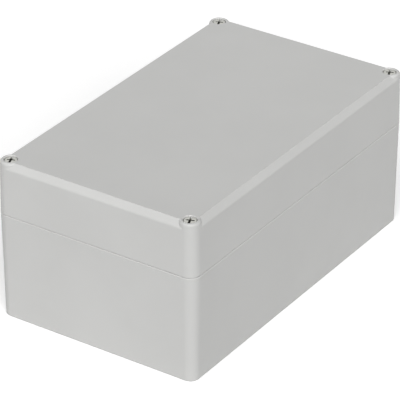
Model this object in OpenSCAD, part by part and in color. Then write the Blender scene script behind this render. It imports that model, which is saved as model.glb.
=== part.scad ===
// Sealed project box: a moulded base with a deep screw-on lid.
// X runs along the long walls, Y along the short ones and Z upwards.
// The origin is the middle of the underside. Millimetres throughout.

/* [Box] */
// Length over the long walls, at the seam
box_l = 200; // [160:1:260]
// Width over the short walls, at the seam
box_w = 120; // [100:1:180]
// Height of the closed box
box_h = 90; // [80:1:130]
// Height of the lid, from the seam to its top
lid_h = 30; // [26:0.5:36]

/* [Shell] */
// Thickness of the side walls
wall = 3.5; // [3:0.1:4]
// Thickness of the floor and of the lid's top
floor_t = 3.5; // [3:0.1:5]
// Radius of the upright corners, round the lid screws
corner_r = 6; // [5.8:0.1:6.6]
// Slope of the lid's walls, in degrees
lid_draft = 0.9; // [0.2:0.1:1.2]
// Slope of the base's walls, in degrees
base_draft = 0.75; // [0.2:0.05:1]
// Chamfer along the lid's straight top edges
chamfer = 3; // [1.5:0.1:4]
// Rounding where that chamfer meets the wall
chamfer_round = 2; // [0.5:0.1:3]
// Rounding of the outer top edge of each screw tower
tower_round = 1.4; // [0.8:0.1:1.4]
// Rounding of the edge that the box stands on
foot_round = 0.8; // [0.4:0.1:1.5]
// Rounding where the inside walls meet the floor and the lid's top
inside_round = 1.5; // [0.5:0.1:2.5]

/* [Seam and seal] */
// Height of the shadow line that shows round the seam
seam_line = 0.5; // [0.3:0.05:0.8]
// Depth of the shadow line
seam_line_deep = 0.5; // [0.3:0.05:0.7]
// Bevel along the base's outer rim, under the shadow line
rim_bevel = 0.4; // [0.2:0.05:0.6]
// Width of the seal groove in the lid
groove_w = 1.5; // [1.2:0.1:1.7]
// Height of the tongue that stands on the base's rim
tongue_h = 1.6; // [1.2:0.1:2.5]
// Thickness of the tongue
tongue_w = 1; // [0.8:0.05:1.1]
// Thickness of the sealing gasket when squeezed
gasket_t = 1.6; // [1:0.1:2.5]
// Radius of the seal's middle line where it turns off a wall
seal_bend = 3; // [2.6:0.1:4]

/* [Lid screws] */
// Diameter of the screw's threaded end
screw_d = 4; // [3.5:0.1:4.2]
// Length of the screw under its head
screw_len = 35; // [34:1:38]
// Diameter of the waisted shank
waist_d = 3.2; // [2.8:0.1:3.4]
// Diameter of the head
head_d = 6.8; // [6.4:0.1:7]
// Height of the head
head_h = 2.8; // [2.4:0.1:3.2]
// Rounding of the head's top edge
head_round = 0.5; // [0.2:0.1:0.8]
// Depth of the head's top below the top of the lid
head_sink = 0.5; // [0.3:0.1:1.5]
// Gap between the head and the well that it sits in, all round
head_gap = 0.2; // [0.1:0.05:0.3]
// Bevel of the well's edge
well_edge = 0.3; // [0.2:0.1:0.4]
// Gap between the shank and its hole in the lid, all round
shank_gap = 0.25; // [0.2:0.05:0.4]
// Distance that the screw rises per turn
pitch = 0.7; // [0.5:0.05:0.8]
// Turns that free the screw from its insert
turns_out = 13.5; // [10:0.5:14]
// Angle that the screwdriver slots are turned from the long walls
slot_turn = 20; // [0:5:90]
// Distance from the lid screws to the seal's middle line
screw_to_seal = 7; // [6.6:0.1:9]

/* [Retaining rings] */
// Outer diameter of the ring that keeps a screw in the lid
ring_d = 7; // [6:0.1:7.4]
// Thickness of the ring
ring_t = 1; // [0.8:0.1:1.5]
// Width of the slit that lets the ring snap on
ring_slit = 1; // [0.6:0.1:1.5]
// Height of the ring above the seam with the screw home
ring_lift = 0.4; // [0.2:0.1:1]
// Diameter of the ring's room in the lid's underside
ring_room_d = 8; // [7.8:0.1:8.4]

/* [Threaded inserts] */
// Diameter of the brass insert
insert_d = 5.6; // [5.2:0.1:6]
// Length of the insert
insert_l = 8; // [6:0.5:8.5]
// Depth of the insert's top below the base's rim
insert_sink = 0.2; // [0.1:0.1:0.5]
// Bite of the insert into its hole, on the radius
insert_bite = 0.05; // [0.02:0.01:0.08]
// Running clearance of turning and sliding fits, on the radius
fit = 0.05; // [0.03:0.01:0.08]

/* [Wall mounting] */
// Diameter of the wall screw holes in the floor
wall_hole_d = 4.5; // [3.5:0.1:5.5]
// Distance from each lid screw to the wall screw well, along the box
well_pitch = 12; // [11.5:0.5:16]
// Distance from the outer long wall to the middle of the well
well_in = 7; // [6.8:0.1:7.6]
// Diameter of the well that takes the wall screw's head
well_d = 8.4; // [7.8:0.1:8.6]
// Thickness of the ledge that the wall screw's head clamps
ledge_t = 5; // [4:0.5:8]
// Thickness of the lid over the wall screw well
well_roof_t = 7; // [4:0.5:10]

/* [Board posts] */
// Distance between the board holes along the box
board_l = 170; // [100:1:172]
// Distance between the board holes across the box
board_w = 80; // [50:1:82]
// Diameter of a board post
post_d = 7; // [6:0.1:8]
// Height of a board post above the floor
post_h = 6; // [4:0.5:12]
// Diameter of the pilot hole for a self-tapping screw
pilot_d = 2.9; // [2.2:0.1:3.5]
// Floor left under the pilot hole
pilot_floor = 2; // [1.5:0.1:2.5]

/* [Hidden] */
$fn = 64;
half_l = box_l / 2;
half_w = box_w / 2;
seam_z = box_h - lid_h;
past = 1;               // how far a cutting shape runs past the face it cuts
cap_relief = 0.01;      // how much smaller a tower is where it stands out of the chamfer
ring_spare = 0.3;       // room left above a ring when its screw is right out
tip_spare = 1.5;        // room left under a screw's tip

// Each lid screw shares its axis with the rounded corner around it.
corner_x = half_l - corner_r;
corner_y = half_w - corner_r;
CORNERS = [[-1, -1], [1, -1], [1, 1], [-1, 1]];

// Screw, ring and insert heights.
head_z = box_h - head_sink;
seat_z = head_z - head_h;
tip_z = seat_z - screw_len;
ring_z = seam_z + ring_lift;
ring_room_h = ring_lift + ring_t + turns_out * pitch + ring_spare;
insert_top = seam_z - insert_sink;
slot_w = 1.2;           // screwdriver slot across the head
slot_deep = 1.3;
cross_l = 4.4;          // cross recess in the middle of the head
cross_w = 0.95;
cross_deep = 1.8;

// The seal's middle line follows the walls and passes inside the screws and wells.
seal_x = half_l - wall / 2;
seal_y = half_w - wall / 2;
pass_y = corner_y - screw_to_seal;
well_x = corner_x - well_pitch;
well_y = half_w - well_in;
well_bend = well_y - pass_y;
turn_a = [seal_x - seal_bend, pass_y - seal_bend];
turn_b = [well_x - well_bend - seal_bend, seal_y - seal_bend];
groove_h = tongue_h + gasket_t;
gasket_side = 0.1;      // room beside the gasket in its groove

// Inward lean of the outer walls at height z, measured from the seam.
function base_lean(z) = (seam_z - z) * tan(base_draft);
function lid_lean(z) = (z - seam_z) * tan(lid_draft);

function unit(v) = v / norm(v);

// Rounds an inset to a thousandth, so that flat walls and turned corners meet exactly.
function tidy(v) = round(v * 1000) / 1000;

// Points of an arc of radius r that rounds the corner b between a and c.
function rounded(a, b, c, r, steps = 4) =
    let (u = unit(a - b), v = unit(c - b), half = acos(u * v) / 2,
         middle = b + unit(u + v) * r / sin(half),
         start = b + u * r / tan(half) - middle,
         side = cross(b - a, c - b) > 0 ? 1 : -1)
    [for (i = [0:steps]) let (t = side * (180 - 2 * half) * i / steps)
        middle + [start.x * cos(t) - start.y * sin(t), start.x * sin(t) + start.y * cos(t)]];

// Outlines are lists of [inset from the seam's edge, height], from low to high.
base_foot = [base_lean(0), 0];
base_outline = concat(
    rounded([corner_r, 0], base_foot, [0, seam_z], foot_round),
    [[base_lean(seam_z - rim_bevel), seam_z - rim_bevel], [rim_bevel, seam_z]]);

line_top = seam_z + seam_line;
lid_rim = [[seam_line_deep, seam_z], [seam_line_deep, line_top], [lid_lean(line_top), line_top]];
shoulder = [lid_lean(box_h - chamfer), box_h - chamfer];
brow = shoulder + [chamfer, chamfer];
shoulder_arc = rounded([0, seam_z], shoulder, brow, chamfer_round);
lid_outline = concat(lid_rim, shoulder_arc, [brow]);

// The towers share the walls' outline up to where the walls turn in.
tower_top = [lid_lean(box_h), box_h];
tower_arc = rounded([0, seam_z], tower_top, [corner_r, box_h], tower_round, 6);
tower_outline = concat(lid_rim, [shoulder_arc[0]], tower_arc);
cap_outline = [for (p = concat([shoulder_arc[0]], tower_arc)) p + [cap_relief, 0]];

base_hollow = concat(
    rounded([half_w, floor_t], [wall + base_lean(floor_t), floor_t], [wall, seam_z], inside_round),
    [[wall - past * tan(base_draft), seam_z + past]]);

lid_roof = box_h - floor_t;
lid_hollow = concat(
    [[wall - past * tan(lid_draft), seam_z - past]],
    rounded([wall, seam_z], [wall + lid_lean(lid_roof), lid_roof], [half_w, lid_roof], inside_round));

// ---- helpers ----

// Section across the box from an outline, mirrored about the middle.
module section(outline, half) {
    polygon(concat([for (p = outline) [half - tidy(p.x), p.y]],
                   [for (i = [len(outline) - 1:-1:0]) [tidy(outline[i].x) - half, outline[i].y]]));
}

// Block whose four walls all follow the outline, with square corners.
module four_walls(outline) {
    intersection() {
        rotate([90, 0, 0])
            linear_extrude(box_w + 2 * past, center = true)
                section(outline, half_l);
        rotate([90, 0, 90])
            linear_extrude(box_l + 2 * past, center = true)
                section(outline, half_w);
    }
}

// Outer form: four walls without their corners, and a turned quarter in each corner.
module outer_form(outline, corner_outline) {
    intersection() {
        four_walls(outline);
        translate([0, 0, -past])
            linear_extrude(box_h + 2 * past)
                union() {
                    square([2 * corner_x, box_w + 4 * past], center = true);
                    square([box_l + 4 * past, 2 * corner_y], center = true);
                }
    }
    four_corners()
        translate([corner_x, corner_y, 0])
            rotate_extrude(angle = 90)
                turned_section(corner_outline);
}

// Half section of a turned corner, from its outline.
module turned_section(outline) {
    polygon(concat([[0, outline[0].y]],
                   [for (p = outline) [corner_r - tidy(p.x), p.y]],
                   [[0, outline[len(outline) - 1].y]]));
}

// Repeats a shape made for the back right corner in all four corners.
module four_corners() {
    for (x = [0, 1], y = [0, 1])
        mirror([x, 0, 0]) mirror([0, y, 0]) children();
}

// Plan of the solid block round the lid screw and the wall screw well.
module corner_block() {
    inner = wall / 2;
    translate([well_x, pass_y - inner]) square([half_l, half_w]);
    translate([well_x - well_bend - inner, well_y]) square([half_l, half_w]);
    translate([well_x, well_y]) circle(well_bend + inner);
    difference() {
        translate(turn_a) square([half_l, seal_bend - inner]);
        translate(turn_a) circle(seal_bend - inner);
    }
    difference() {
        translate(turn_b) square([seal_bend - inner, half_w]);
        translate(turn_b) circle(seal_bend - inner);
    }
}

// Hollow between the walls and the four corner blocks.
module hollow(outline) {
    difference() {
        four_walls(outline);
        translate([0, 0, -past])
            linear_extrude(box_h + 2 * past)
                four_corners() corner_block();
    }
}

// Carries a profile along a straight run; the profile's x points to the run's left.
module run(from, to) {
    way = to - from;
    translate([from.x, from.y, 0])
        rotate([0, 0, atan2(way.y, way.x)])
            rotate([90, 0, 90])
                linear_extrude(norm(way)) children();
}

// Carries a profile round a quarter bend about a centre, from angle a.
module bend(centre, r, a) {
    translate([centre.x, centre.y, 0])
        rotate([0, 0, a])
            rotate_extrude(angle = 90)
                translate([r, 0]) children();
}

// Carries a profile right round the box along the seal's middle line.
module seal_path() {
    for (side = [0, 180])
        rotate([0, 0, side]) {
            run([seal_x, -turn_a.y], [seal_x, turn_a.y]) children();
            run([turn_b.x, seal_y], [-turn_b.x, seal_y]) children();
        }
    four_corners() {
        bend(turn_a, seal_bend, 0) children();
        run([turn_a.x, pass_y], [well_x, pass_y]) children();
        bend([well_x, well_y], well_bend, 180) children();
        run([well_x - well_bend, well_y], [well_x - well_bend, turn_b.y]) children();
        bend(turn_b, seal_bend, 0) children();
    }
}

// ---- base ----

module tongue_profile() {
    root = wall / 4;    // buried in the rim below the tongue
    lead_in = tongue_w / 10;
    side = tongue_w / 2;
    polygon([[-side, seam_z - root], [side, seam_z - root],
             [side, seam_z + tongue_h / 2], [side - lead_in, seam_z + tongue_h],
             [lead_in - side, seam_z + tongue_h], [-side, seam_z + tongue_h / 2]]);
}

// Post for one board screw, sunk a little into the floor.
module board_post() {
    translate([0, 0, floor_t / 2]) cylinder(h = floor_t / 2 + post_h, d = post_d);
}

module at_board_posts() {
    for (x = [-board_l / 2, 0, board_l / 2], y = [-board_w / 2, board_w / 2])
        translate([x, y, 0]) children();
}

module base() {
    color([0.77, 0.77, 0.765])
    difference() {
        union() {
            difference() {
                outer_form(base_outline, base_outline);
                hollow(base_hollow);
            }
            seal_path() tongue_profile();
            at_board_posts() board_post();
        }
        at_board_posts()
            translate([0, 0, pilot_floor])
                cylinder(h = floor_t + post_h, d = pilot_d);
        four_corners() {
            translate([corner_x, corner_y, insert_top - insert_l])
                cylinder(h = insert_l + insert_sink + past, d = insert_d - 2 * insert_bite);
            translate([corner_x, corner_y, tip_z - tip_spare])
                cylinder(h = seam_z - tip_z, r = screw_d / 2 + shank_gap);
            translate([well_x, well_y, ledge_t])
                cylinder(h = seam_z, d = well_d);
            translate([well_x, well_y, -past])
                cylinder(h = seam_z, d = wall_hole_d);
        }
    }
}

// ---- lid ----

module groove_profile() {
    translate([-groove_w / 2, seam_z - past]) square([groove_w, groove_h + past]);
}

// The round top of each screw tower, where it stands out of the chamfer.
module tower_caps() {
    four_corners()
        translate([corner_x, corner_y, 0])
            rotate([0, 0, 225])
                rotate_extrude()
                    turned_section(cap_outline);
}

module lid() {
    head_well_d = head_d + 2 * head_gap;
    color([0.77, 0.77, 0.765])
    difference() {
        union() {
            outer_form(lid_outline, tower_outline);
            tower_caps();
        }
        hollow(lid_hollow);
        seal_path() groove_profile();
        four_corners() {
            translate([corner_x, corner_y, 0]) {
                translate([0, 0, seat_z]) cylinder(h = box_h, d = head_well_d);
                translate([0, 0, box_h - well_edge])
                    cylinder(h = well_edge, d1 = head_well_d, d2 = head_well_d + 2 * well_edge);
                translate([0, 0, seam_z]) cylinder(h = lid_h, r = screw_d / 2 + shank_gap);
                translate([0, 0, seam_z - past]) cylinder(h = ring_room_h + past, d = ring_room_d);
            }
            translate([well_x, well_y, seam_z - past])
                cylinder(h = lid_h - well_roof_t + past, d = well_d);
        }
    }
}

// ---- gasket ----

module gasket() {
    color([0.16, 0.16, 0.17])
    seal_path()
        translate([gasket_side - groove_w / 2, seam_z + tongue_h])
            square([groove_w - 2 * gasket_side, gasket_t]);
}

// ---- lid screws, their rings and inserts ----

module at_corner(i) {
    translate([CORNERS[i].x * corner_x, CORNERS[i].y * corner_y, 0]) children();
}

module screw(i) {
    head_r = head_d / 2;
    tip_r = screw_d / 2 - pitch;
    color([0.80, 0.80, 0.81])
    at_corner(i)
    difference() {
        rotate_extrude()
            polygon(concat(
                [[0, tip_z], [tip_r, tip_z], [screw_d / 2, tip_z + pitch],
                 [screw_d / 2, ring_z], [waist_d / 2, ring_z], [waist_d / 2, seat_z], [head_r, seat_z]],
                rounded([head_r, seat_z], [head_r, head_z], [0, head_z], head_round),
                [[0, head_z]]));
        translate([0, 0, head_z]) rotate([0, 0, slot_turn]) {
            cube([2 * head_d, slot_w, 2 * slot_deep], center = true);
            cube([cross_l, cross_w, 2 * cross_deep], center = true);
            cube([cross_w, cross_l, 2 * cross_deep], center = true);
        }
    }
}

module ring(i) {
    color([0.92, 0.92, 0.88])
    at_corner(i)
        translate([0, 0, ring_z])
            linear_extrude(ring_t)
                difference() {
                    circle(d = ring_d);
                    circle(d = waist_d + 2 * fit);
                    translate([0, -ring_slit / 2]) square([ring_d, ring_slit]);
                }
}

module insert(i) {
    outer = insert_d / 2;
    low = insert_top - insert_l;
    band = insert_l / 3;
    step = 0.4;         // depth of the neck, which slopes in at 45 degrees
    neck = outer - step;
    color([0.80, 0.66, 0.36])
    at_corner(i)
        rotate_extrude()
            polygon([[screw_d / 2 + fit, low], [outer, low], [outer, low + band],
                     [neck, low + band + step], [neck, insert_top - band - step],
                     [outer, insert_top - band], [outer, insert_top], [screw_d / 2 + fit, insert_top]]);
}

base();
lid();
gasket();
screw(0);  // screw_front_left
screw(1);  // screw_front_right
screw(2);  // screw_back_right
screw(3);  // screw_back_left
ring(0);  // ring_front_left
ring(1);  // ring_front_right
ring(2);  // ring_back_right
ring(3);  // ring_back_left
insert(0);  // insert_front_left
insert(1);  // insert_front_right
insert(2);  // insert_back_right
insert(3);  // insert_back_left
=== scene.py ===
# %% [markdown]
# # A sealed project box, dressed for its picture
#
# The box is a moulded base with a deep lid. Four screws in the corners hold the lid down on a
# rubber seal, nylon rings keep the screws in the lid, and brass inserts take their threads.
#
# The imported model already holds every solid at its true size, so this script keeps it as a fixed
# frame. It gives the two mouldings their finish, mends the lid's screw wells in a copy, and swaps the
# small turned and sealed parts for finer meshes that stand in exactly the same places. Blender works
# in metres, with Z upwards; sizes of small parts are written in millimetres and times MM.

import math

import bmesh
import bpy
import numpy as np
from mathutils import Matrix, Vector


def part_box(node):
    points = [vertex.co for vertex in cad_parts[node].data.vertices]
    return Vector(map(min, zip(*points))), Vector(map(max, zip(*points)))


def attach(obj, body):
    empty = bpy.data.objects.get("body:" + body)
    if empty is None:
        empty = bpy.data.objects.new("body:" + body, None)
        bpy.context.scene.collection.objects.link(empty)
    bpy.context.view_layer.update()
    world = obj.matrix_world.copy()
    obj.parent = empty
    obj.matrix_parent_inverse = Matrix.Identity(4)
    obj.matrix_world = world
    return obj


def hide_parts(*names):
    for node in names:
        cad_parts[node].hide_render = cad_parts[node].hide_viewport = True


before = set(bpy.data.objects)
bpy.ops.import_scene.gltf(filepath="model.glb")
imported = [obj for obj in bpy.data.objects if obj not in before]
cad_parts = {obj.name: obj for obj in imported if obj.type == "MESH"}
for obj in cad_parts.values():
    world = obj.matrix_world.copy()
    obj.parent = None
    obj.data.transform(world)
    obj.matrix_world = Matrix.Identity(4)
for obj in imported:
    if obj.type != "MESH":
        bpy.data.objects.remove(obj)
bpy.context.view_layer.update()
MM = 0.001
CORNERS = ["front_left", "front_right", "back_right", "back_left"]

# %% [markdown]
# ## Sizes come from the frame
#
# A replacement has to land where the solid was, so its sizes are read from the boxes of the CAD
# nodes. All four corners are alike, so one of them is measured and its place is mirrored. Only what
# a box can't tell, such as the width of a slot, is written down as a value of its own.

# %% Measure one corner
def span(node):
    """Lowest and highest corner of a CAD node, as two numpy rows in metres."""
    return np.array(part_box(node))


def axis_of(node):
    """Middle of a round node, seen from above."""
    return span(node).mean(axis=0)[:2]


SCREW_BOX = span("screw_back_right")        # boxes, axes and heights in metres
RING_BOX = span("ring_back_right")
INSERT_BOX = span("insert_back_right")
GASKET_BOX = span("gasket")
LID_BOX = span("lid")
AXIS_X, AXIS_Y = axis_of("screw_back_right")
HEAD_TOP = SCREW_BOX[1, 2]
HEAD_RADIUS = (SCREW_BOX[1, 0] - SCREW_BOX[0, 0]) / 2 / MM      # in millimetres
SCREW_TIP = SCREW_BOX[0, 2]
RING_LOW = RING_BOX[0, 2]
print("screw axis in mm:", round(AXIS_X / MM, 2), round(AXIS_Y / MM, 2))
print("head top, tip and ring in mm:", [round(z / MM, 2) for z in (HEAD_TOP, SCREW_TIP, RING_LOW)])

# %% [markdown]
# ## Camera
#
# The box is seen from above its near left corner with a long lens, so its edges stay nearly
# parallel. A camera is three things: a point to aim at, a direction to stand in, and a distance.
# Writing them down like that is easier to adjust than a raw location and three angles.

# %% Camera
AZIMUTH = math.radians(-56.08)
ELEVATION = math.radians(29.65)
DISTANCE = 1.4863               # metres from the aim
LENS = 256.1
AIM_ASIDE = -2.9                # millimetres to the right of the box's middle
AIM_HEIGHT = 39.06


def make_camera():
    """Camera whose back points from the aim to the lens, at the given azimuth and elevation."""
    back = Vector((math.sin(AZIMUTH) * math.cos(ELEVATION),
                   -math.cos(AZIMUTH) * math.cos(ELEVATION),
                   math.sin(ELEVATION)))
    right = Vector((math.cos(AZIMUTH), math.sin(AZIMUTH), 0))
    aim = right * AIM_ASIDE * MM + Vector((0, 0, AIM_HEIGHT * MM))
    data = bpy.data.cameras.new("view_camera")
    data.lens = LENS
    data.clip_start, data.clip_end = 0.05, 20
    camera = bpy.data.objects.new("view_camera", data)
    camera.location = aim + back * DISTANCE
    camera.rotation_euler = back.to_track_quat("Z", "Y").to_euler()
    bpy.context.scene.collection.objects.link(camera)
    return camera


bpy.context.scene.camera = make_camera()
bpy.context.scene.view_settings.view_transform = "Standard"
print("camera at", [round(c, 3) for c in bpy.context.scene.camera.location])

# %% [markdown]
# ## Building node trees in a few words
#
# Materials, the world and the floor are all node trees, and adding a node is always the same: make
# it, set its options, then fill each input with a number or with another node's output. One small
# helper does that, so the trees below read as a list of what each node does.

# %% Node helpers
def add(tree, kind, inputs=None, **options):
    """Adds a node. An input given as a socket is linked, any other value is written into it."""
    node = tree.nodes.new(kind)
    for name, value in options.items():
        setattr(node, name, value)
    for key, value in (inputs or {}).items():
        if isinstance(value, bpy.types.NodeSocket):
            tree.links.new(value, node.inputs[key])
        else:
            node.inputs[key].default_value = value
    return node


def math_node(tree, operation, *values):
    """Output of one Math node with the given values or sockets, in order."""
    return add(tree, "ShaderNodeMath", dict(enumerate(values)), operation=operation).outputs[0]


def fade(tree, value, start, end):
    """0 below start and 1 above end, with a soft step between them. Swap them to fade out."""
    node = add(tree, "ShaderNodeMapRange", {"Value": value, "From Min": start, "From Max": end},
               interpolation_type="SMOOTHSTEP")
    return node.outputs["Result"]


def between(tree, factor, low, high):
    """Number that runs from low to high as the factor runs from 0 to 1."""
    node = add(tree, "ShaderNodeMapRange", {"Value": factor, "To Min": low, "To Max": high})
    return node.outputs["Result"]


def blend_colours(tree, factor, first, second):
    """Colour between two colours."""
    node = add(tree, "ShaderNodeMix", {"Factor": factor, "A": first, "B": second}, data_type="RGBA")
    return node.outputs["Result"]


def rgba(red, green, blue):
    """Solid colour for a socket, from three parts of 0 to 1."""
    return (red, green, blue, 1)


def empty_material(name):
    """A new material with only its output node. Returns the material, its tree and that node."""
    material = bpy.data.materials.new(name)
    material.use_nodes = True
    tree = material.node_tree
    tree.nodes.clear()
    return material, tree, tree.nodes.new("ShaderNodeOutputMaterial")


# %% [markdown]
# ## White all round
#
# A product picture on white needs a bright background without bright light on the product. Rays
# from the camera, and rays that a shiny screw reflects, see a world of strength 1, which is white.
# All the other rays see a dimmer one, and that is what lights the plastic.

# %% World
SKY_LIGHT = 0.2


def make_world():
    """World that is white where it is seen and dimmer where it only lights."""
    world = bpy.data.worlds.new("white_studio")
    world.use_nodes = True
    tree = world.node_tree
    tree.nodes.clear()
    path = add(tree, "ShaderNodeLightPath")
    seen = math_node(tree, "MAXIMUM", path.outputs["Is Camera Ray"], path.outputs["Is Glossy Ray"])
    seen = math_node(tree, "MAXIMUM", seen, path.outputs["Is Transmission Ray"])
    lit = add(tree, "ShaderNodeBackground", {"Color": rgba(1, 1, 1), "Strength": SKY_LIGHT})
    white = add(tree, "ShaderNodeBackground", {"Color": rgba(1, 1, 1), "Strength": 1})
    both = add(tree, "ShaderNodeMixShader", {0: seen, 1: lit.outputs[0], 2: white.outputs[0]})
    add(tree, "ShaderNodeOutputWorld", {"Surface": both.outputs[0]})
    return world


bpy.context.scene.world = make_world()
print("even light from the sky:", SKY_LIGHT)

# %% [markdown]
# ## Two soft boxes
#
# A sun lamp with a very wide disc stands for a large soft box. The key comes from the left and the
# front, half way up, so the short wall is a little brighter than the long one. A weaker lamp behind
# the box on the left skims the top: it lifts the chamfer over the short wall above all the rest.

# %% Lamps
LAMPS = {"key_box": ((-0.61, -0.50, 0.61), 2.95, 50),       # direction, strength, width in degrees
         "back_box": ((-0.50, 0.48, 0.72), 0.47, 60)}


def make_lamp(name, direction, strength, width):
    """Sun that shines from the given direction, its disc as wide as the given degrees."""
    data = bpy.data.lights.new(name, "SUN")
    data.energy = strength
    data.angle = math.radians(width)
    lamp = bpy.data.objects.new(name, data)
    lamp.rotation_euler = Vector(direction).to_track_quat("Z", "Y").to_euler()
    bpy.context.scene.collection.objects.link(lamp)
    return lamp


for name, settings in LAMPS.items():
    print("lamp:", make_lamp(name, *settings).name)

# %% [markdown]
# ## Floor
#
# The floor is a plain sheet just under the box. To the camera it is white paper with a faint glow
# that lifts it to full white, so only the soft shadow beside the box stays. To other rays it is a
# mid grey, so that it bounces as much light as the sky gives and all sides are lit alike.

# %% Floor
FLOOR_SIZE = 6.0
FLOOR_BOUNCE = 0.56
FLOOR_GLOW = 0.2
FLOOR_DROP = 0.02               # millimetres below the box, so that no two faces share a place


def make_floor():
    """Square sheet with one face, white to the camera and grey to the light it bounces."""
    half = FLOOR_SIZE / 2
    mesh = bpy.data.meshes.new("floor")
    corners = ((-half, -half), (half, -half), (half, half), (-half, half))
    mesh.from_pydata([(x, y, -FLOOR_DROP * MM) for x, y in corners], [], [(0, 1, 2, 3)])
    floor = bpy.data.objects.new("floor", mesh)
    bpy.context.scene.collection.objects.link(floor)
    material, tree, output = empty_material("floor_paper")
    path = add(tree, "ShaderNodeLightPath")
    seen = math_node(tree, "MAXIMUM", path.outputs["Is Camera Ray"], path.outputs["Is Glossy Ray"])
    grey = rgba(FLOOR_BOUNCE, FLOOR_BOUNCE, FLOOR_BOUNCE)
    paper = add(tree, "ShaderNodeBsdfDiffuse", {"Color": blend_colours(tree, seen, grey, rgba(1, 1, 1))})
    glow = add(tree, "ShaderNodeEmission", {"Strength": math_node(tree, "MULTIPLY", seen, FLOOR_GLOW)})
    both = add(tree, "ShaderNodeAddShader", {0: paper.outputs[0], 1: glow.outputs[0]})
    tree.links.new(both.outputs[0], output.inputs["Surface"])
    mesh.materials.append(material)
    return floor


print(make_floor().name, FLOOR_SIZE, "m square")

# %% [markdown]
# ## Shared effects are node groups
#
# Three effects turn up in more than one finish, so each is a node group, built once:
#
# - **fine grain**: the tiny pits of a spark-eroded mould, or of rubber. Two noises of different
#   sizes give a height in millimetres and a slow, cloudy tone.
# - **soft edge**: the Bevel node bends the shading normal near an edge as if it were rounded. How
#   far it bends is also a mask for the edge itself.
# - **from the screw axis**: the four corners mirror each other, so the size of X and Y less the
#   place of one axis centres a pattern on all four screws with a single material.

# %% Node groups
def new_group(name, inputs, outputs):
    """A shader group with float inputs {name: default} and outputs {name: socket type}."""
    group = bpy.data.node_groups.new(name, "ShaderNodeTree")
    for label, value in inputs.items():
        socket = group.interface.new_socket(label, in_out="INPUT", socket_type="NodeSocketFloat")
        socket.default_value = value
    for label, kind in outputs.items():
        group.interface.new_socket(label, in_out="OUTPUT", socket_type=kind)
    return group, group.nodes.new("NodeGroupInput"), group.nodes.new("NodeGroupOutput")


def use_group(tree, group, **inputs):
    """Places a group in a tree. Its inputs are named with underscores for spaces."""
    return add(tree, "ShaderNodeGroup", {k.replace("_", " "): v for k, v in inputs.items()},
               node_tree=group)


def fine_grain_group():
    """Height in millimetres of a coarse noise plus half of finer cells, and a slow tone of 0 to 1."""
    group, given, result = new_group("fine_grain", {"Grain Size": 0.4, "Grain Depth": 0.006},
                                     {"Height": "NodeSocketFloat", "Tone": "NodeSocketFloat"})
    place = add(group, "ShaderNodeTexCoord").outputs["Object"]
    per_metre = math_node(group, "DIVIDE", 1 / MM, given.outputs["Grain Size"])
    coarse = add(group, "ShaderNodeTexNoise", {"Vector": place, "Scale": per_metre, "Detail": 3})
    finer = math_node(group, "MULTIPLY", per_metre, 2.7)
    fine = add(group, "ShaderNodeTexVoronoi", {"Vector": place, "Scale": finer})
    cloud = add(group, "ShaderNodeTexNoise", {"Vector": place, "Scale": 28, "Detail": 4})
    pits = math_node(group, "ADD", coarse.outputs[0], math_node(group, "MULTIPLY", fine.outputs[0], 0.5))
    height = math_node(group, "MULTIPLY", pits, given.outputs["Grain Depth"])
    group.links.new(height, result.inputs["Height"])
    group.links.new(fade(group, cloud.outputs[0], 0.3, 0.7), result.inputs["Tone"])
    return group


def soft_edge_group():
    """Normal bent round edges within a radius in millimetres, and 1 where it bends the most."""
    group, given, result = new_group("soft_edge", {"Radius": 0.2},
                                     {"Normal": "NodeSocketVector", "Edge": "NodeSocketFloat"})
    metres = math_node(group, "MULTIPLY", given.outputs["Radius"], MM)
    bent = add(group, "ShaderNodeBevel", {"Radius": metres}, samples=6).outputs[0]
    straight = add(group, "ShaderNodeNewGeometry").outputs["Normal"]
    likeness = add(group, "ShaderNodeVectorMath", {0: bent, 1: straight}, operation="DOT_PRODUCT")
    group.links.new(bent, result.inputs["Normal"])
    group.links.new(fade(group, likeness.outputs["Value"], 0.995, 0.8), result.inputs["Edge"])
    return group


def screw_axis_group():
    """Distance from the nearest screw's axis and height over the floor, both in millimetres."""
    group, _, result = new_group("from_the_screw_axis", {},
                                 {"Radius": "NodeSocketFloat", "Height": "NodeSocketFloat"})
    place = add(group, "ShaderNodeTexCoord").outputs["Object"]
    folded = add(group, "ShaderNodeVectorMath", {0: place}, operation="ABSOLUTE").outputs[0]
    axis = (AXIS_X, AXIS_Y, 0)
    offset = add(group, "ShaderNodeVectorMath", {0: folded, 1: axis}, operation="SUBTRACT").outputs[0]
    parts = add(group, "ShaderNodeSeparateXYZ", {0: offset})
    flat = add(group, "ShaderNodeCombineXYZ", {"X": parts.outputs["X"], "Y": parts.outputs["Y"]})
    radius = add(group, "ShaderNodeVectorMath", {0: flat.outputs[0]}, operation="LENGTH")
    for label, value in (("Radius", radius.outputs["Value"]), ("Height", parts.outputs["Z"])):
        group.links.new(math_node(group, "DIVIDE", value, MM), result.inputs[label])
    return group


FINE_GRAIN = fine_grain_group()
SOFT_EDGE = soft_edge_group()
SCREW_AXIS = screw_axis_group()
print("groups:", [group.name for group in (FINE_GRAIN, SOFT_EDGE, SCREW_AXIS)])
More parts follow.
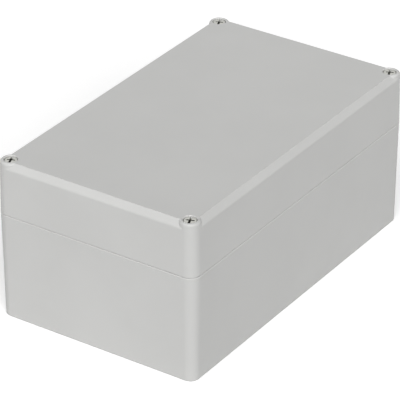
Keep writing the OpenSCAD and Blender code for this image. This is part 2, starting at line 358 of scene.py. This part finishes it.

# %% [markdown]
# ## Housing plastic
#
# The housing is light grey ABS from a finely eroded mould: satin, very even, with hardly any
# colour. What makes it read as plastic rather than as grey paint is small: a grain too fine to see
# from a step away, a slow drift in gloss, and a painted highlight that makes the edges a touch lighter than
# the faces.
#
# Inside, ejector pins leave flat round marks where they push the part off the core. They show only
# on the floor and under the lid's top, so the mask is limited to heights inside the walls.

# %% Housing plastic
PLASTIC_DARK = rgba(0.532, 0.532, 0.522)
PLASTIC_LIGHT = rgba(0.552, 0.552, 0.542)
# painted highlight: the lighter grey that the edges are blended towards
PLASTIC_HIGHLIGHT = rgba(0.60, 0.60, 0.59)
PIN_RADIUS = 3.0                # all pin sizes and places in millimetres
PIN_RIM = 0.15
PIN_DEPTH = 0.06
PIN_PLACES = ((62, 24), (26, 46))
SKIN = 2.0                      # millimetres of wall beyond which no pin can reach


def pin_marks(tree):
    """Height in millimetres of shallow round pin marks, mirrored into all four quarters."""
    place = add(tree, "ShaderNodeTexCoord").outputs["Object"]
    folded = add(tree, "ShaderNodeVectorMath", {0: place}, operation="ABSOLUTE").outputs[0]
    height = add(tree, "ShaderNodeSeparateXYZ", {0: place}).outputs["Z"]
    inside = math_node(tree, "MULTIPLY", math_node(tree, "GREATER_THAN", height, SKIN * MM),
                       math_node(tree, "LESS_THAN", height, LID_BOX[1, 2] - SKIN * MM))
    flat = add(tree, "ShaderNodeVectorMath", {0: folded, 1: (1, 1, 0)}, operation="MULTIPLY").outputs[0]
    total = 0
    for x, y in PIN_PLACES:
        away = add(tree, "ShaderNodeVectorMath", {0: flat, 1: (x * MM, y * MM, 0)}, operation="DISTANCE")
        disc = fade(tree, away.outputs["Value"], PIN_RADIUS * MM, (PIN_RADIUS - PIN_RIM) * MM)
        total = math_node(tree, "ADD", total, disc)
    return math_node(tree, "MULTIPLY", math_node(tree, "MULTIPLY", total, inside), -PIN_DEPTH)


def housing_plastic():
    """Satin plastic: two close greys by the grain's slow tone, a painted highlight on the edges, grain and
    pins as bump.
    """
    material, tree, output = empty_material("moulded_grey_plastic")
    grain = use_group(tree, FINE_GRAIN, Grain_Size=0.35, Grain_Depth=0.005)
    edge = use_group(tree, SOFT_EDGE, Radius=0.12)
    height = math_node(tree, "ADD", grain.outputs["Height"], pin_marks(tree))
    bump = add(tree, "ShaderNodeBump", {"Height": height, "Distance": MM, "Normal": edge.outputs["Normal"]})
    colour = blend_colours(tree, grain.outputs["Tone"], PLASTIC_DARK, PLASTIC_LIGHT)
    # painted highlight: the edges are blended halfway to a lighter grey
    colour = blend_colours(tree, math_node(tree, "MULTIPLY", edge.outputs["Edge"], 0.5), colour, PLASTIC_HIGHLIGHT)
    shader = add(tree, "ShaderNodeBsdfPrincipled",
                 {"Base Color": colour,
                  "Roughness": between(tree, grain.outputs["Tone"], 0.46, 0.54),
                  "Specular IOR Level": 0.4,
                  "Normal": bump.outputs[0]})
    tree.links.new(shader.outputs[0], output.inputs["Surface"])
    return material


HOUSING = housing_plastic()
print("material:", HOUSING.name)

# %% [markdown]
# ## Put the finish on the two mouldings
#
# The base and the lid are large, rigid and already exact, with true round corners, chamfers and
# rims. Their form isn't modelled again: their slots just get the new material, and the copy of the
# lid that is made further down takes it along.

# %% Dress the base and the lid
def dress(node, material):
    """Gives every material slot of a CAD node the same finish."""
    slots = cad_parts[node].material_slots
    for slot in slots:
        slot.material = material
    return len(slots)


for node in ("base", "lid"):
    print(node, "slots dressed:", dress(node, HOUSING))

# %% [markdown]
# ## Metals, nylon and rubber
#
# The screws are plated steel with a turned head. Light hardly reaches the bottom of the slot, so
# painted shade darkens the steel's colour with depth below the head's top. The inserts
# are bright brass, the rings natural nylon that lets a little light in, and the seal is rubber.

# %% Screw steel
STEEL = rgba(0.52, 0.52, 0.485)
# painted shade: the colour the steel takes at the bottom of the slot and the cross recess
STEEL_RECESS_SHADE = rgba(0.05, 0.05, 0.043)
# painted highlight: the brighter steel that the edges are blended towards
STEEL_HIGHLIGHT = rgba(0.66, 0.66, 0.62)
SLOT_DEEP = 1.3
RECESS_FLOOR = 2.0              # millimetres below the head's top that no recess goes past
RECESS_REACH = 2.8              # radius in millimetres within which the head's top is flat
SHADE_EDGE = 0.2                # millimetres over which the shade of a recess fades out
SHADE_RIM = 0.15


def turned_height(tree, radius, spacing, depth):
    """Height in millimetres of fine turning marks: a sine of the radius, a little irregular."""
    wobble = add(tree, "ShaderNodeTexNoise", {"Scale": 900}).outputs[0]
    phase = math_node(tree, "ADD", math_node(tree, "MULTIPLY", radius, 2 * math.pi / spacing),
                      math_node(tree, "MULTIPLY", wobble, 1.5))
    return math_node(tree, "MULTIPLY", math_node(tree, "SINE", phase), depth)


def metal(name, plain, highlight_colour, roughness, marks, recess_shade=None):
    """A turned metal with a painted highlight on its edges, and painted shade in its recess where a shade
    colour is given.
    """
    material, tree, output = empty_material(name)
    axis = use_group(tree, SCREW_AXIS)
    grain = use_group(tree, FINE_GRAIN, Grain_Size=0.15, Grain_Depth=0.002)
    edge = use_group(tree, SOFT_EDGE, Radius=0.08)
    turning = turned_height(tree, axis.outputs["Radius"], 0.12, marks)
    height = math_node(tree, "ADD", grain.outputs["Height"], turning)
    bump = add(tree, "ShaderNodeBump", {"Height": height, "Distance": MM, "Normal": edge.outputs["Normal"]})
    # painted highlight: edges are blended towards the brighter colour
    colour = blend_colours(tree, math_node(tree, "MULTIPLY", edge.outputs["Edge"], 0.6), plain, highlight_colour)
    # painted shade: inside the head's radius the colour darkens with depth below the head's top
    if recess_shade:
        top = HEAD_TOP / MM
        depth = fade(tree, axis.outputs["Height"], top, top - SLOT_DEEP / 2)
        head = fade(tree, axis.outputs["Height"], top - RECESS_FLOOR - SHADE_EDGE, top - RECESS_FLOOR)
        within = fade(tree, axis.outputs["Radius"], RECESS_REACH + SHADE_RIM, RECESS_REACH)
        shade = math_node(tree, "MULTIPLY", math_node(tree, "MULTIPLY", depth, head), within)
        colour = blend_colours(tree, shade, colour, recess_shade)
    shader = add(tree, "ShaderNodeBsdfPrincipled",
                 {"Base Color": colour, "Metallic": 1,
                  "Roughness": between(tree, grain.outputs["Tone"], roughness - 0.05, roughness + 0.05),
                  "Normal": bump.outputs[0]})
    tree.links.new(shader.outputs[0], output.inputs["Surface"])
    return material


SCREW_STEEL = metal("plated_screw_steel", STEEL, STEEL_HIGHLIGHT, 0.32, 0.0012, STEEL_RECESS_SHADE)
print("material:", SCREW_STEEL.name)

# %% Brass, nylon and rubber
# painted highlight: the second colour is the brighter brass given to the edges
BRASS = metal("turned_brass", rgba(0.75, 0.55, 0.26), rgba(0.9, 0.74, 0.45), 0.28, 0.001)


def moulded(name, dark, light, roughness, grain_size, grain_depth, **sockets):
    """A moulded soft or hard plastic: two close tones, fine grain, softened edges with a painted highlight.
    """
    material, tree, output = empty_material(name)
    grain = use_group(tree, FINE_GRAIN, Grain_Size=grain_size, Grain_Depth=grain_depth)
    edge = use_group(tree, SOFT_EDGE, Radius=0.08)
    bump = add(tree, "ShaderNodeBump",
               {"Height": grain.outputs["Height"], "Distance": MM, "Normal": edge.outputs["Normal"]})
    # painted highlight: the edge mask lifts the colour to the lighter tone
    tone = math_node(tree, "MAXIMUM", grain.outputs["Tone"], edge.outputs["Edge"])
    shader = add(tree, "ShaderNodeBsdfPrincipled",
                 {"Base Color": blend_colours(tree, tone, dark, light),
                  "Roughness": between(tree, grain.outputs["Tone"], roughness - 0.05, roughness + 0.05),
                  "Normal": bump.outputs[0],
                  **{key.replace("_", " "): value for key, value in sockets.items()}})
    tree.links.new(shader.outputs[0], output.inputs["Surface"])
    return material


NYLON = moulded("natural_nylon", rgba(0.74, 0.73, 0.67), rgba(0.82, 0.81, 0.76), 0.38, 0.5, 0.003,
                Subsurface_Weight=0.15, Subsurface_Scale=0.001)
RUBBER = moulded("soft_seal_rubber", rgba(0.022, 0.022, 0.024), rgba(0.04, 0.04, 0.043), 0.68, 0.2, 0.008)
print("materials:", [material.name for material in (BRASS, NYLON, RUBBER)])

# %% [markdown]
# ## Surfaces as grids
#
# Every new piece is a grid of points: rows run one way over the surface and columns the other. A
# formula gives all the points at once as numpy arrays, and the faces follow from the grid alone. A
# side that closes on itself is joined back to its first line.

# %% Grid helpers
def grid_faces(rows, columns, close_rows=False, close_columns=False, first=0):
    """Quads of a grid of points. Point (row i, column j) has the number first + i * columns + j, and
    each quad joins it to the next column and the next row."""
    i, j = np.meshgrid(np.arange(rows if close_rows else rows - 1),
                       np.arange(columns if close_columns else columns - 1), indexing="ij")
    below, beside = (i + 1) % rows, (j + 1) % columns
    corners = (i * columns + j, i * columns + beside, below * columns + beside, below * columns + j)
    return (np.stack(corners, axis=-1).reshape(-1, 4) + first).tolist()


def rings(radius, height, angle):
    """Turned surface: column j stands at angle j, and row i has its own radius and height there."""
    radius, height, angle = np.broadcast_arrays(radius, height, angle)
    return np.stack([radius * np.cos(angle), radius * np.sin(angle), height], axis=-1)


def build(name, points, faces, material, smooth_below=40):
    """Makes an object from points in metres. Doubles are merged, normals turned outwards, and only
    edges that bend by more than the given degrees stay sharp."""
    mesh = bpy.data.meshes.new(name)
    mesh.from_pydata(np.asarray(points).reshape(-1, 3).tolist(), [], faces)
    work = bmesh.new()
    work.from_mesh(mesh)
    bmesh.ops.remove_doubles(work, verts=work.verts, dist=0.1e-6)
    bmesh.ops.recalc_face_normals(work, faces=work.faces)
    work.to_mesh(mesh)
    work.free()
    mesh.shade_smooth()
    mesh.set_sharp_from_angle(angle=math.radians(smooth_below))
    mesh.materials.append(material)
    piece = bpy.data.objects.new(name, mesh)
    bpy.context.scene.collection.objects.link(piece)
    return piece


def stand_in(piece, node, body):
    """The piece takes over from a CAD node: it hides the node and moves with its body."""
    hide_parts(node)
    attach(piece, body)
    return piece


print("grid of 3 x 4 points, closed round:", len(grid_faces(3, 4, close_columns=True)), "faces")

# %% [markdown]
# ## Open the mouths of the screw wells
#
# The head of each lid screw sits in a round well, and the well's mouth has a small bevel that leads
# the driver in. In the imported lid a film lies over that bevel, thinner than a ray can tell: the cone
# that cuts the bevel ends level with the top, and the top came out a hair higher.
#
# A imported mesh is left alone, so a copy stands in for it. The copy's loose triangles are joined, and
# the film's inner edge is drawn back to the bevel's outer edge, where it has no width and goes. Each
# face corner carries the solid's exact normal along, since averaged normals would make the large
# flat walls look like pillows.

# %% Lid with open wells
WELL_GAP = 0.2                  # millimetres between a screw head and its well
WELL_BEVEL = 0.3


def draw_back_film(mesh):
    """Moves what lies level with the lid's top and inside the bevel straight outwards from the
    screw's axis by the bevel's width. Gives the number of points moved."""
    places = np.empty(3 * len(mesh.vertices))
    mesh.vertices.foreach_get("co", places)
    places = places.reshape(-1, 3)
    arm = places[:, :2] - np.where(places[:, :2] < 0, -1, 1) * (AXIS_X, AXIS_Y)
    radius = np.hypot(arm[:, 0], arm[:, 1])
    film = (radius < (HEAD_RADIUS + WELL_GAP + WELL_BEVEL / 2) * MM) & \
           (places[:, 2] > LID_BOX[1, 2] - WELL_BEVEL / 2 * MM)
    places[film, :2] += arm[film] / radius[film, None] * WELL_BEVEL * MM
    mesh.vertices.foreach_set("co", places.ravel())
    return int(film.sum())


def joined_copy(node, name, change):
    """Copies a CAD node's mesh, changes it, merges its loose triangles and puts the exact corner
    normals back. Gives the new object."""
    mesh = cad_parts[node].data.copy()
    exact = np.array([corner.vector for corner in mesh.corner_normals])
    carrier = mesh.attributes.new("exact_normal", "FLOAT_VECTOR", "CORNER")
    carrier.data.foreach_set("vector", exact.ravel())
    print(node, "points drawn back:", change(mesh))
    work = bmesh.new()
    work.from_mesh(mesh)
    bmesh.ops.remove_doubles(work, verts=work.verts, dist=0.1e-6)
    print(node, "open edges after the merge:", sum(not edge.is_manifold for edge in work.edges))
    work.to_mesh(mesh)
    work.free()
    exact = np.empty(3 * len(mesh.loops))
    mesh.attributes["exact_normal"].data.foreach_get("vector", exact)
    mesh.attributes.remove(mesh.attributes["exact_normal"])
    mesh.normals_split_custom_set(exact.reshape(-1, 3).tolist())
    piece = bpy.data.objects.new(name, mesh)
    bpy.context.scene.collection.objects.link(piece)
    return piece


lid_shell = stand_in(joined_copy("lid", "lid_shell", draw_back_film), "lid", "lid")
print("faces in the lid:", len(lid_shell.data.polygons))

# %% [markdown]
# ## Lid screws
#
# Each lid screw has a cylindrical head with a slot right across it and a cross recess in the middle,
# so either driver fits. Below is a thin waist, then a short thread.
#
# A boolean cut would leave ragged triangles in the recess, so the head is a height field instead.
# Grid lines are laid exactly along the recess's edges, once at the top of each wall and once at its
# foot, so every wall is a clean strip of quads. Outside the middle square the lines run on to the
# rim: those in the slot stay parallel and the others fan out.

# %% Head of a lid screw
SLOT_HALF = (0.57, 0.60)        # half width of the slot at its floor and at the top
CROSS_HALF = (0.36, 0.475)      # half width of a cross arm, likewise
CROSS_REACH = (1.55, 2.2)       # length of a cross arm from the middle, likewise
CROSS_DEEP = 1.8
SLOT_TURN = 20                  # degrees from the long walls
SQUARE = 2.25                   # half side of the middle square of the grid
FILL_LINES = (0, 0.2, 0.85, 1.15, 1.85)     # grid lines between the edges of the recess
HEAD_ROUND = 0.5
RIM_STEPS = 12


def ramp(distance, foot_and_top):
    """1 inside the foot of a sloping wall, 0 outside its top, straight between them."""
    foot, top = foot_and_top
    return np.clip((top - np.abs(distance)) / (top - foot), 0, 1)


def head_height(x, y):
    """Height of the head over (x, y), below its top: a flat disc whose rim falls away as a quarter
    circle, cut down to the deeper of the slot and the two cross arms."""
    out = np.clip(np.hypot(x, y) - (HEAD_RADIUS - HEAD_ROUND), 0, HEAD_ROUND)
    disc = np.sqrt(np.maximum(HEAD_ROUND ** 2 - out ** 2, 0)) - HEAD_ROUND
    arm_x = np.minimum(ramp(y, CROSS_HALF), ramp(x, CROSS_REACH))
    arm_y = np.minimum(ramp(x, CROSS_HALF), ramp(y, CROSS_REACH))
    slot = SLOT_DEEP * ramp(y, SLOT_HALF)
    return np.minimum(disc, -np.maximum(slot, CROSS_DEEP * np.maximum(arm_x, arm_y)))


def head_grid():
    """Points of the head's top in millimetres, in the slot's own directions: the middle square, then
    rings that carry its outline to the rim. Lines in the slot keep their distance from its middle."""
    half = sorted({*FILL_LINES, *CROSS_HALF, *SLOT_HALF, *CROSS_REACH, SQUARE})
    line = np.array([-v for v in half[:0:-1]] + half)
    x, y = np.meshgrid(line, line, indexing="ij")
    side = line[:-1]
    square = np.concatenate([np.stack(pair, axis=-1) for pair in (
        (np.full_like(side, SQUARE), side), (-side, np.full_like(side, SQUARE)),
        (np.full_like(side, -SQUARE), -side), (side, np.full_like(side, -SQUARE)))])
    diagonal = HEAD_RADIUS / math.sqrt(2)
    slot_edge = SLOT_HALF[1]
    spread = np.interp(np.abs(side), [0, slot_edge, SQUARE], [0, slot_edge, diagonal]) * np.sign(side)
    level = np.sqrt(HEAD_RADIUS ** 2 - spread ** 2)
    rim = np.concatenate([np.stack(pair, axis=-1) for pair in (
        (level, spread), (-spread, level), (-level, -spread), (spread, -level))])
    share = np.linspace(0, 1, RIM_STEPS + 1)[:, None, None]
    fan = square + share * (rim - square)
    middle = np.stack([x, y, head_height(x, y)], axis=-1)
    outer = np.concatenate([fan, head_height(fan[..., 0], fan[..., 1])[..., None]], axis=-1)
    return middle, outer


middle, outer = head_grid()
print("head: middle", middle.shape[:2], " rim", outer.shape[:2], " radius", round(HEAD_RADIUS, 3))

# %% [markdown]
# The rest of the screw is turned: under the rim come the side of the head, the seat, the waist and
# the thread. The thread is the same grid of rings, but its radius depends on the height and the
# angle together, which winds the crest round as a helix.

# %% Shank and thread
HEAD_HEIGHT = 2.8
SEAT_Z = HEAD_TOP / MM - HEAD_HEIGHT
SEAT_BEVEL = 0.15
WAIST_RADIUS = 1.6
NECK_ROUND = 0.3                # hollow between the seat and the waist, and its middle point
NECK_MIDDLE = 0.09
THREAD_RADIUS = 2.0
PITCH = 0.7
THREAD_DEPTH = 0.43
ROOT_FLAT = 0.2                 # share of half a pitch that the root of the thread takes
FLANK = 0.65                    # share over which the flank rises to the crest
RUN_OUT = 0.12                  # how far the thread starts outside the waist
ROWS_PER_TURN = 10


def thread_radius(height, angle, crest, depth):
    """Radius of a right-hand thread: a blunt wave of the height in turns less the angle in turns."""
    turns = height / PITCH - angle / (2 * np.pi)
    wave = np.abs(2 * (turns % 1) - 1)
    return crest - depth * (1 - np.clip((wave - ROOT_FLAT) / FLANK, 0, 1))


def screw_points():
    """Head grid and shank rings of one screw in millimetres, about its own axis."""
    middle, outer = head_grid()
    top = HEAD_TOP / MM
    rim = outer[-1]
    angle = np.arctan2(rim[:, 1], rim[:, 0])
    bare = np.array([(HEAD_RADIUS, SEAT_Z + SEAT_BEVEL), (HEAD_RADIUS - SEAT_BEVEL, SEAT_Z),
                     (WAIST_RADIUS + NECK_ROUND, SEAT_Z),
                     (WAIST_RADIUS + NECK_MIDDLE, SEAT_Z - NECK_MIDDLE),
                     (WAIST_RADIUS, SEAT_Z - NECK_ROUND), (WAIST_RADIUS, RING_LOW / MM)])
    low, high = SCREW_TIP / MM, RING_LOW / MM
    height = np.linspace(high, low, int((high - low) / PITCH * ROWS_PER_TURN) + 1)[:, None]
    wound = thread_radius(height, angle, THREAD_RADIUS, THREAD_DEPTH)
    run_out = WAIST_RADIUS + RUN_OUT + (high - height)
    point = THREAD_RADIUS - PITCH + (height - low)
    wound = np.minimum(wound, np.minimum(run_out, point))
    shank = np.concatenate([rings(bare[:, :1], bare[:, 1:], angle), rings(wound, height, angle)])
    for part in (middle, outer):
        part[..., 2] += top
    return middle, outer, shank


def turned(points, degrees):
    """Points turned about the Z axis."""
    c, s = math.cos(math.radians(degrees)), math.sin(math.radians(degrees))
    return points @ np.array([[c, s, 0], [-s, c, 0], [0, 0, 1]])


def make_screw(corner):
    """Joins head, rim and shank into one closed screw, turns its slot and puts it on its axis."""
    middle, outer, shank = screw_points()
    columns = outer.shape[1]
    lower = np.concatenate([outer, shank])
    faces = grid_faces(*middle.shape[:2])
    start = middle.shape[0] * middle.shape[1]
    faces += grid_faces(len(lower), columns, close_columns=True, first=start)
    last = start + (len(lower) - 1) * columns
    faces.append(list(range(last, last + columns)))
    points = np.concatenate([middle.reshape(-1, 3), lower.reshape(-1, 3)])
    points = turned(points, SLOT_TURN) * MM + np.append(axis_of("screw_" + corner), 0)
    piece = build("lid_screw_" + corner, points, faces, SCREW_STEEL, smooth_below=32)
    return stand_in(piece, "screw_" + corner, "screw_" + corner)


for corner in CORNERS:
    screw = make_screw(corner)
    print(screw.name, "faces:", len(screw.data.polygons))

# %% [markdown]
# ## Retaining rings
#
# A flat nylon ring with a slit snaps round each waist, so the screw can't fall out of a loose lid.
# Its section is a rectangle with rounded corners, carried round from one face of the slit to the
# other. The slit's faces are parallel, so the angle where it starts grows towards the middle.

# %% Retaining rings
RING_INNER = 1.65               # in millimetres, as the rest
RING_SLIT = 1.0
RING_ROUND = 0.15
RING_STEPS = 56


def rounded_box(x_low, x_high, z_low, z_high, radius, steps=5):
    """Outline of a rectangle with rounded corners, anticlockwise: four centres, and round each a
    quarter circle."""
    centres = np.array([(x_high - radius, z_high - radius), (x_low + radius, z_high - radius),
                        (x_low + radius, z_low + radius), (x_high - radius, z_low + radius)])
    angle = np.radians(np.arange(4) * 90)[:, None] + np.linspace(0, np.pi / 2, steps)
    arc = np.stack([np.cos(angle), np.sin(angle)], axis=-1) * radius
    return (centres[:, None, :] + arc).reshape(-1, 2)


def make_ring(corner):
    """Rounded section carried round the screw's axis from one face of the slit to the other."""
    radius = (RING_BOX[1, 0] - AXIS_X) / MM
    outline = rounded_box(RING_INNER, radius, RING_BOX[0, 2] / MM, RING_BOX[1, 2] / MM, RING_ROUND)
    opening = np.arcsin(RING_SLIT / 2 / outline[:, 0])
    share = np.linspace(0, 1, RING_STEPS)[:, None]
    angle = opening + share * (2 * np.pi - 2 * opening)
    points = rings(outline[:, 0], outline[:, 1], angle)
    count = len(outline)
    faces = grid_faces(RING_STEPS, count, close_columns=True)
    faces += [list(range(count)), list(range((RING_STEPS - 1) * count, RING_STEPS * count))]
    points = points.reshape(-1, 3) * MM + np.append(axis_of("screw_" + corner), 0)
    piece = build("retaining_ring_" + corner, points, faces, NYLON)
    return stand_in(piece, "ring_" + corner, "ring_" + corner)


for corner in CORNERS:
    ring = make_ring(corner)
    print(ring.name, "faces:", len(ring.data.polygons))

# %% [markdown]
# ## Threaded inserts
#
# Brass inserts are pressed hot into the base. Two bands of crossed knurling bite into the plastic
# and the neck between them locks the insert in. The outside, both ends and the threaded bore are
# one closed loop of rings, so the whole insert is a single watertight grid.

# %% Threaded inserts
KNURLS = 24
KNURL_DEPTH = 0.22
KNURL_PITCH = 0.75
NECK_DEPTH = 0.4
NECK_SLOPE = 0.3                # height over which a band falls to the neck
BAND_EDGE = 0.1                 # plain edge at the open end of a knurled band
BAND_FADE = 0.2                 # height over which the knurling fades in and out
END_BEVEL = 0.15
BORE_SPARE = 0.05               # room between the bore's thread and the screw's
BORE_THREAD = 0.35
BORE_MOUTH = 0.15
INSERT_COLUMNS = 96
OUTSIDE_ROWS = 41
BORE_ROWS = 81


def knurl(height, angle):
    """Depth of crossed knurling: two sets of V grooves, wound left and right, and the deeper counts."""
    wave = [np.abs(2 * ((angle / (2 * np.pi) * KNURLS + hand * height / KNURL_PITCH) % 1) - 1)
            for hand in (1, -1)]
    return KNURL_DEPTH * np.maximum(*wave)


def insert_points():
    """Closed loop of rings in millimetres: down the outside, across the foot, up the bore, and back
    over the top."""
    low, high = INSERT_BOX[:, 2] / MM
    outside = (INSERT_BOX[1, 0] - INSERT_BOX[0, 0]) / 2 / MM
    angle = np.linspace(0, 2 * np.pi, INSERT_COLUMNS, endpoint=False)
    height = np.linspace(high, low, OUTSIDE_ROWS)[:, None]
    from_end = np.minimum(height - low, high - height)
    band = (high - low) / 3
    neck = NECK_DEPTH * np.clip((from_end - band) / NECK_SLOPE, 0, 1)
    bite = (np.clip((from_end - BAND_EDGE) / BAND_FADE, 0, 1)
            * np.clip((band - BAND_FADE - from_end) / BAND_FADE, 0, 1))
    at_end = from_end < 0.5 * (high - low) / (OUTSIDE_ROWS - 1)
    outer = outside - neck - bite * knurl(height, angle) - END_BEVEL * at_end
    bore_height = np.linspace(low, high, BORE_ROWS)[:, None]
    bore = thread_radius(bore_height, angle, THREAD_RADIUS + BORE_SPARE, BORE_THREAD)
    mouth = np.minimum(bore_height - low, high - bore_height)
    bore = np.maximum(bore, THREAD_RADIUS + BORE_MOUTH - mouth)
    return np.concatenate([rings(outer, height, angle), rings(bore, bore_height, angle)])


def make_insert(corner):
    """One closed grid on the axis of its screw; it stays in the base."""
    grid = insert_points()
    faces = grid_faces(len(grid), INSERT_COLUMNS, close_rows=True, close_columns=True)
    points = grid.reshape(-1, 3) * MM + np.append(axis_of("screw_" + corner), 0)
    piece = build("threaded_insert_" + corner, points, faces, BRASS, smooth_below=25)
    return stand_in(piece, "insert_" + corner, "base")


for corner in CORNERS:
    insert = make_insert(corner)
    print(insert.name, "faces:", len(insert.data.polygons))

# %% [markdown]
# ## Seal
#
# The seal lies in the lid's groove. It follows the walls and steps inwards round each corner, so
# that the lid screws and the wall screws stay outside the dry space. A section swept along a path
# is the natural way to make it: the path is a polygon whose corners are rounded by arcs, and the
# section is a soft rectangle, because the rubber swells a little where it is pressed.

# %% Seal
SEAL_WIDTH = 1.3
SEAL_TURN = 3.0                 # radius of the path where it leaves a wall
WELL_TURN = 6.0                 # radius where it passes a corner block
PASS_Y = 47.0                   # where it passes the lid screws
PASS_X = 76.0                   # where it passes the wall screw wells
ARC_STEPS = 9
SEAL_ROUND = 0.42               # rounding of the rubber's section


def seal_path():
    """Closed path in millimetres and its sideways directions. Every corner is square, so its arc's
    centre lies one radius along both legs, and the arc runs from one leg to the other."""
    far_x = GASKET_BOX[1, 0] / MM - SEAL_WIDTH / 2
    far_y = GASKET_BOX[1, 1] / MM - SEAL_WIDTH / 2
    quarter = np.array([(far_x, PASS_Y), (PASS_X, PASS_Y), (PASS_X, far_y)])
    bends = np.array([SEAL_TURN, WELL_TURN, SEAL_TURN])
    signs = ((1, 1), (-1, 1), (-1, -1), (1, -1))
    corner = np.concatenate([(quarter if sx == sy else quarter[::-1]) * (sx, sy) for sx, sy in signs])
    radius = np.concatenate([bends] * 4)[:, None, None]
    back = np.roll(corner, 1, axis=0) - corner
    ahead = np.roll(corner, -1, axis=0) - corner
    back = (back / np.linalg.norm(back, axis=1, keepdims=True))[:, None, :]
    ahead = (ahead / np.linalg.norm(ahead, axis=1, keepdims=True))[:, None, :]
    turn = np.linspace(0, np.pi / 2, ARC_STEPS)[None, :, None]
    path = corner[:, None, :] + radius * (back * (1 - np.sin(turn)) + ahead * (1 - np.cos(turn)))
    along = (ahead * np.sin(turn) - back * np.cos(turn)).reshape(-1, 2)
    return path.reshape(-1, 2), np.stack([along[:, 1], -along[:, 0]], axis=-1)


def make_seal():
    """Rounded section swept along the closed path."""
    path, sideways = seal_path()
    low, high = GASKET_BOX[:, 2] / MM
    section = rounded_box(-SEAL_WIDTH / 2, SEAL_WIDTH / 2, low, high, SEAL_ROUND)
    flat = path[:, None, :] + sideways[:, None, :] * section[None, :, :1]
    height = np.broadcast_to(section[None, :, 1:], flat.shape[:2] + (1,))
    faces = grid_faces(len(path), len(section), close_rows=True, close_columns=True)
    piece = build("lid_seal", np.concatenate([flat, height], axis=-1) * MM, faces, RUBBER)
    return stand_in(piece, "gasket", "lid")


seal = make_seal()
print(seal.name, "faces:", len(seal.data.polygons))
